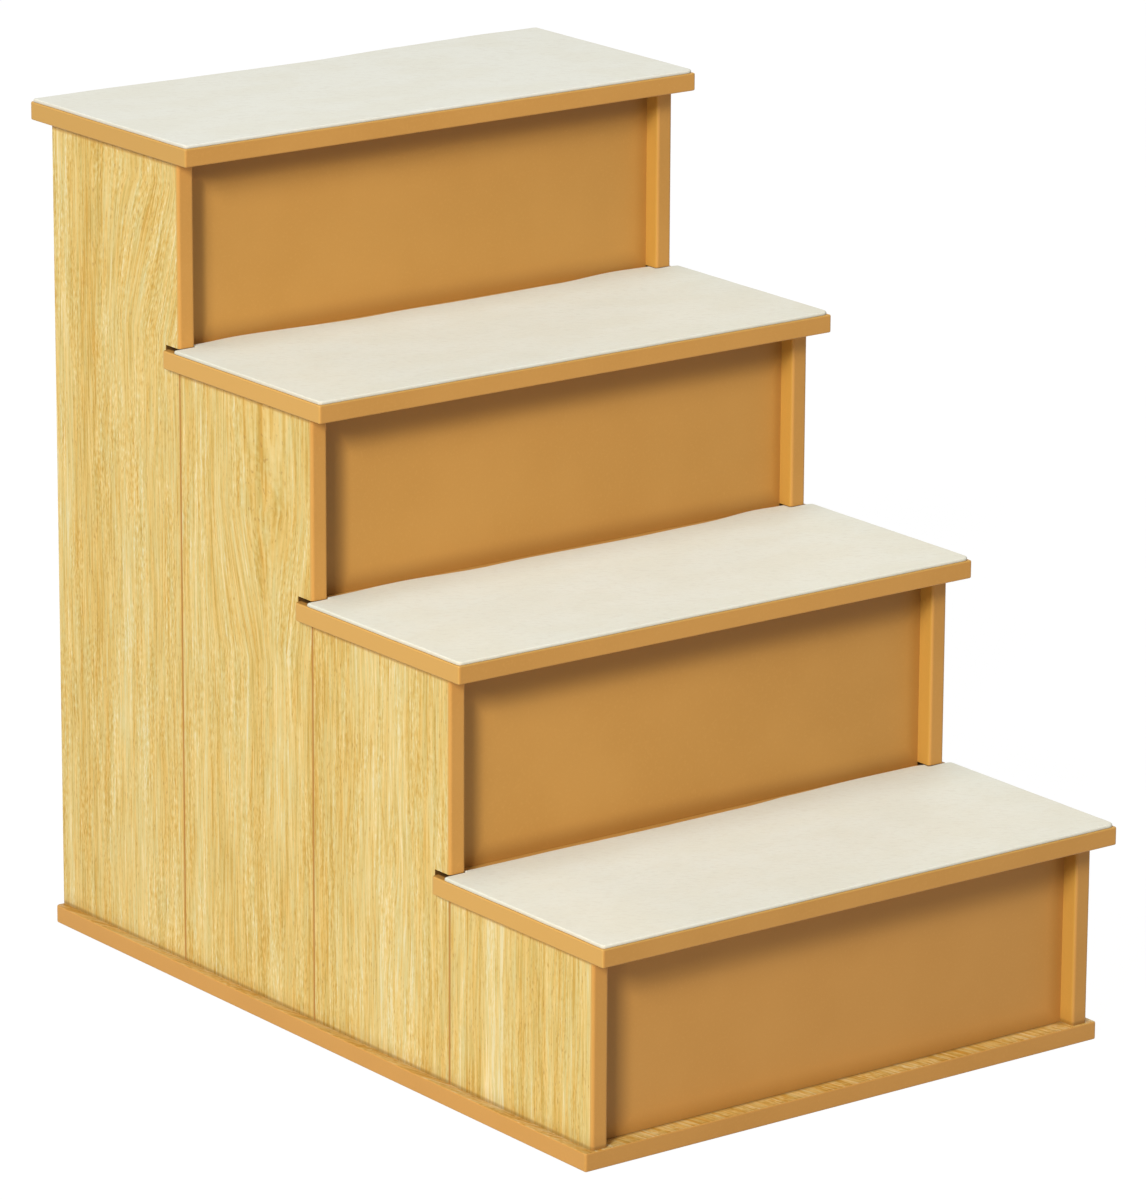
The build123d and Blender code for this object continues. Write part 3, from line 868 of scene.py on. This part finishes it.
def makePad(step, material):
    node = f"tread_pad_{step}"
    low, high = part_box(node)
    low.y -= felt["outset"]
    highest = step == stepCount
    half = high.x + felt["outset"]
    # the three lower pads reach back between the side boards with a tongue that starts at the shoulder
    tongueHalf = half - felt["endInset"] if highest else insideHalf - felt["boardGap"]
    shoulder = high.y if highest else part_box(f"left_side_board_{step + 1}")[0].y - felt["boardGap"]
    zone = max(felt["frontCorners"])
    tight = mm / 10

    columns = spread([-half, -half + zone, -tongueHalf, tongueHalf, half - zone, half], felt["columnCells"])
    rowBreaks = [low.y, low.y + zone, shoulder - zone, shoulder]
    if not highest:
        rowBreaks.append(high.y)
    rows = spread(rowBreaks, felt["rowCells"])

    shape = bmesh.new()
    bmesh.ops.create_grid(shape, x_segments=len(columns) - 1, y_segments=len(rows) - 1, size=1.0)
    for vert in shape.verts:
        column = round((vert.co.x + 1) / 2 * (len(columns) - 1))
        row = round((vert.co.y + 1) / 2 * (len(rows) - 1))
        vert.co = (columns[column], rows[row], low.z)
    outside = [face for face in shape.faces
               if abs(face.calc_center_median().x) > tongueHalf + tight
               and face.calc_center_median().y > shoulder + tight]
    bmesh.ops.delete(shape, geom=outside, context="FACES")

    for vert in shape.verts:
        x, y, z = vert.co
        # the whole rear edge of the highest pad and the tongues of the others are cut by hand
        gap = alongStops(felt["rearGaps"][step - 1], x / tongueHalf) * mm
        if highest:
            y -= gap * smoothShare((y - low.y) / (shoulder - low.y))
        elif y > shoulder + tight:
            y -= gap * (y - shoulder) / (high.y - shoulder)
        # rounded corners, smaller behind than in front
        corner = felt["frontCorners"][0 if x < 0 else 1]
        past = abs(x) - (half - corner)
        if past > 0:
            cut = corner - sqrt(max(corner * corner - past * past, 0.0))
            share = (y - low.y) / (shoulder - low.y)
            y += cut * (1 - share) - cut * felt["rearCornerShare"] * share
        # slightly uneven cut along the front and the sides
        sides = (abs(x) / half - felt["wanderSides"]) / (1 - felt["wanderSides"])
        edge = smoothShare(sides) + smoothShare(1 - (y - low.y) / felt["wanderFront"])
        wander = abs(noise.noise(Vector((x, y, step)) / felt["wanderSize"])) * felt["wander"] * edge
        vert.co = (x - wander * (1 if x > 0 else -1), y + wander, z)

    raised = bmesh.ops.extrude_face_region(shape, geom=list(shape.faces))["geom"]
    topVerts = [item for item in raised if isinstance(item, bmesh.types.BMVert)]
    topFaces = {item for item in raised if isinstance(item, bmesh.types.BMFace)}
    bmesh.ops.translate(shape, verts=topVerts, vec=(0, 0, felt["thickness"]))
    rim = [edge for edge in shape.edges if sum(face in topFaces for face in edge.link_faces) == 1]
    bmesh.ops.bevel(shape, geom=rim, offset=felt["rim"], segments=felt["rimSteps"], profile=0.5,
                    affect="EDGES", material=-1)
    top = low.z + felt["thickness"]
    for vert in shape.verts:
        if vert.co.z > top - tight:
            place = Vector((vert.co.x, vert.co.y, felt["lumpSeed"] * step))
            vert.co.z += noise.noise(place / felt["lumpSize"]) * felt["lump"]
    pad = newPiece(f"feltPad{step}", shape, material)
    smoothing = pad.modifiers.new("smoothing", "SUBSURF")
    smoothing.levels = smoothing.render_levels = felt["smoothLevels"]
    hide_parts(node)


# Countersunk screws with a cross recess, driven up through the base board

baseScrew = {
    "radius": 2 * mm,
    "headRadius": 4 * mm,
    "headHeight": 2.4 * mm,
    "sunk": 0.3 * mm,
    "length": 34.7 * mm,
    "tip": 5 * mm,
    "turnSteps": 32,
    "weld": 0.01 * mm,
    "rimBevel": 0.15 * mm,
    "rimSteps": 2,
    "slotLength": 4.6 * mm,
    "slotWidth": 1.1 * mm,
    "slotDepth": 1.5 * mm,
    "slotTaper": 0.45,
    # where they stand along a side board, and across the riser and the back panel
    "boardShares": (0.22, 0.78),
    "panelShare": 0.3,
    # degrees that each is turned further than the one before
    "turnEach": 37,
}


def oneScrew():
    look = baseScrew
    shape = bmesh.new()
    profile = ((0, 0), (look["headRadius"], 0), (look["radius"], look["headHeight"]),
               (look["radius"], look["length"] - look["tip"]), (0, look["length"]))
    verts = [shape.verts.new((radius, 0, height)) for radius, height in profile]
    edges = [shape.edges.new(pair) for pair in zip(verts, verts[1:])]
    bmesh.ops.spin(shape, geom=verts + edges, cent=(0, 0, 0), axis=(0, 0, 1), angle=radians(360),
                   steps=look["turnSteps"], use_merge=True)
    bmesh.ops.remove_doubles(shape, verts=shape.verts, dist=look["weld"])
    rim = [edge for edge in shape.edges
           if all(abs(vert.co.z) < look["weld"] and vert.co.xy.length > look["radius"] for vert in edge.verts)]
    bmesh.ops.bevel(shape, geom=rim, offset=look["rimBevel"], segments=look["rimSteps"], profile=0.5,
                    affect="EDGES", material=-1)
    screw = looseObject("screwBlank", shape)
    cutters = []
    for turn in (0, 90):
        cutter = bmesh.new()
        bmesh.ops.create_cube(cutter, size=1.0)
        size = (look["slotLength"], look["slotWidth"], 2 * look["slotDepth"])
        bmesh.ops.scale(cutter, verts=cutter.verts, vec=size)
        deep = [vert for vert in cutter.verts if vert.co.z > 0]
        bmesh.ops.scale(cutter, verts=deep, vec=(look["slotTaper"], look["slotTaper"], 1))
        spun = Matrix.Rotation(radians(turn), 3, "Z")
        bmesh.ops.rotate(cutter, verts=cutter.verts, cent=(0, 0, 0), matrix=spun)
        cutters.append(looseObject(f"slotCutter{turn}", cutter))
        slot = screw.modifiers.new("slot", "BOOLEAN")
        slot.object = cutters[-1]
        slot.operation = "DIFFERENCE"
        slot.solver = "EXACT"
    worked = screw.evaluated_get(bpy.context.evaluated_depsgraph_get())
    mesh = bpy.data.meshes.new_from_object(worked)
    for helper in [screw] + cutters:
        bpy.data.objects.remove(helper)
    return mesh


def makeBaseScrews(material):
    places = []
    for side in sideNames:
        for step in steps:
            low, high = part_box(f"{side}_side_board_{step}")
            middle = (low.x + high.x) / 2
            places += [(middle, low.y + share * (high.y - low.y)) for share in baseScrew["boardShares"]]
    for panel in ("riser_1", "back_panel"):
        low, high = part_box(panel)
        aside = baseScrew["panelShare"] * 2 * insideHalf
        places += [(sign * aside, (low.y + high.y) / 2) for sign in (-1, 1)]
    single = oneScrew()
    shape = bmesh.new()
    for index, (x, y) in enumerate(places):
        known = len(shape.verts)
        shape.from_mesh(single)
        shape.verts.ensure_lookup_table()
        turn = Matrix.Rotation(radians(baseScrew["turnEach"] * index), 4, "Z")
        driven = Matrix.Translation((x, y, baseScrew["sunk"])) @ turn
        bmesh.ops.transform(shape, verts=shape.verts[known:], matrix=driven)
    screws = newPiece("baseScrews", shape, material, smooth=False)
    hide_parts("base_screws")


# Finishes on the boards and fittings

for side in sideNames:
    for step in steps:
        dress(nodes[f"{side}_side_board_{step}"], sideBoardMaterial(side, step))
dress(nodes["base_board"], baseMaterial())
for step in steps:
    dress(nodes[f"riser_{step}"], riserMaterial(step))
    dress(nodes[f"tread_{step}"], treadMaterial(step))
dress(nodes["back_panel"], caramelMaterial())
print("boards finished")

steel = metalMaterial("zincPlatedSteel")
for node in ("base_screws", "tread_screws", "cam_bolts"):
    dress(nodes[node], steel)
makeBaseScrews(steel)
dress(nodes["cam_discs"], metalMaterial("castZinc"))
dowelWood = beechMaterial()
for node in ("seam_dowels", "tread_dowels"):
    dress(nodes[node], dowelWood)
print("hardware finished")

for step in steps:
    makePad(step, feltMaterial(step))
print("felt pads made")


# Camera, floor and light

cameraView = {
    # metres and degrees, and the focal length in pixels of a frame that is 1200 pixels high
    "place": (-2.6315, -3.4889, 1.5162),
    "azimuth": -37.094,
    "elevation": 16.048,
    "roll": 0.317,
    "focalPixels": 7021.8,
    "longSidePixels": 1200,
    "sensor": 36.0,
    "farthest": 60,
}


def makeCamera():
    azimuth, elevation, roll = (radians(cameraView[angle]) for angle in ("azimuth", "elevation", "roll"))
    back = Vector((sin(azimuth) * cos(elevation), -cos(azimuth) * cos(elevation), sin(elevation)))
    right = Vector((cos(azimuth), sin(azimuth), 0))
    up = back.cross(right)
    tilted = right * cos(roll) + up * sin(roll)
    risen = up * cos(roll) - right * sin(roll)
    lens = bpy.data.cameras.new("viewLens")
    lens.sensor_width = cameraView["sensor"]
    lens.lens = cameraView["focalPixels"] * cameraView["sensor"] / cameraView["longSidePixels"]
    lens.clip_end = cameraView["farthest"]
    camera = bpy.data.objects.new("viewCamera", lens)
    turn = Matrix((tilted, risen, back)).transposed().to_4x4()
    camera.matrix_world = Matrix.Translation(cameraView["place"]) @ turn
    bpy.context.scene.collection.objects.link(camera)
    bpy.context.scene.camera = camera


studio = {
    "floorHalf": 9.0,
    "floorDrop": 0.2 * mm,
    # the floor as the light meets it, and the white as it is seen, which keeps a trace of the shadow
    "floorTone": (0.47, 0.47, 0.465, 1.0),
    "paperTone": (0.95, 0.95, 0.95, 1.0),
    "paperGlow": 0.93,
    "paperStrength": 1.04,
    "white": (1, 1, 1, 1),
    "airTone": (0.985, 0.992, 1.0, 1.0),
    "airStrength": 0.25,
    "lamps": {
        "keyLamp": {"place": (-7.24, -4.38, 4.6), "size": 2.3, "power": 775.0,
                    "colour": (1.0, 0.99, 0.97), "mirrored": True},
        "topLamp": {"place": (0.1, -0.25, 3.2), "size": 1.2, "power": 25.0,
                    "colour": (1.0, 1.0, 0.99), "mirrored": True},
        "fillLamp": {"place": (5.6, 5.2, 1.3), "size": 3.0, "power": 170.0,
                     "colour": (1.0, 0.99, 0.97), "mirrored": False},
    },
}


def makeFloor():
    shape = bmesh.new()
    bmesh.ops.create_grid(shape, x_segments=1, y_segments=1, size=studio["floorHalf"])
    bmesh.ops.translate(shape, verts=shape.verts, vec=(0, 0, -studio["floorDrop"]))
    floor = looseObject("studioFloor", shape)
    paper = Finish("studioPaper")
    matt = paper.node("ShaderNodeBsdfDiffuse", None, {"Color": studio["floorTone"]})
    pale = paper.node("ShaderNodeBsdfDiffuse", None, {"Color": studio["paperTone"]})
    glow = {"Color": studio["white"], "Strength": studio["paperStrength"]}
    glow = paper.node("ShaderNodeEmission", None, glow)
    shown = paper.node("ShaderNodeMixShader", None, {0: studio["paperGlow"], 1: pale, 2: glow})
    surface = paper.node("ShaderNodeMixShader", None, {0: paper.seenRay(), 1: matt, 2: shown})
    paper.node("ShaderNodeOutputMaterial", None, {0: surface})
    floor.data.materials.append(paper.holder)


def makeLamp(name, look):
    lamp = bpy.data.lights.new(name, "AREA")
    lamp.shape = "SQUARE"
    lamp.size = look["size"]
    lamp.energy = look["power"]
    lamp.color = look["colour"]
    holder = bpy.data.objects.new(name, lamp)
    middle = (cadBox[0] + cadBox[1]) / 2
    holder.location = look["place"]
    holder.rotation_euler = (middle - holder.location).to_track_quat("-Z", "Y").to_euler()
    holder.visible_glossy = look["mirrored"]
    bpy.context.scene.collection.objects.link(holder)


def makeAir():
    air = Finish("studioAir", bpy.data.worlds)
    soft = {"Color": studio["airTone"], "Strength": studio["airStrength"]}
    soft = air.node("ShaderNodeBackground", None, soft)
    white = air.node("ShaderNodeBackground", None, {"Color": studio["white"], "Strength": 1.0})
    surface = air.node("ShaderNodeMixShader", None, {0: air.seenRay(), 1: soft, 2: white})
    air.node("ShaderNodeOutputWorld", None, {0: surface})
    bpy.context.scene.world = air.holder


makeCamera()
makeFloor()
for name, look in studio["lamps"].items():
    makeLamp(name, look)
makeAir()
bpy.context.scene.view_settings.view_transform = "Standard"
print("camera, floor and light set")
